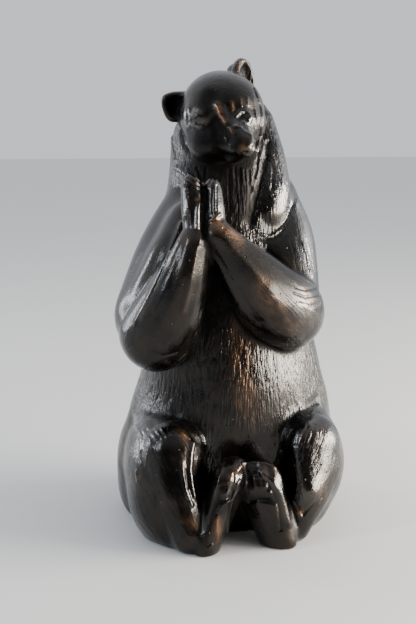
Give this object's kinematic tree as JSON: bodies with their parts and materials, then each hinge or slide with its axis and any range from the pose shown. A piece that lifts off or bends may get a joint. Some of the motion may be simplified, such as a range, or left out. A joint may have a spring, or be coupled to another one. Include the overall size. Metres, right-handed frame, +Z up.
{
  "type": "bear statue",
  "caption": "Cast tabletop figure of a seated bear, paws pressed together under its tilted head, standing by its own weight on its flat underside.",
  "frame": {"origin": "centre of the figure's bounding box in plan, at the level of the flat underside", "axes": "+Z up from the underside to the ear tip, -Y the way the belly and feet face, +X the bear's own left"},
  "size_m": [0.1528, 0.1554, 0.3],
  "materials": {
    "bronze": "dark brown-black patina under glossy lacquer, rubbed to copper on the high places"
  },
  "bodies": {
    "root": {"bear": "bronze"}
  },
  "joints": []
}
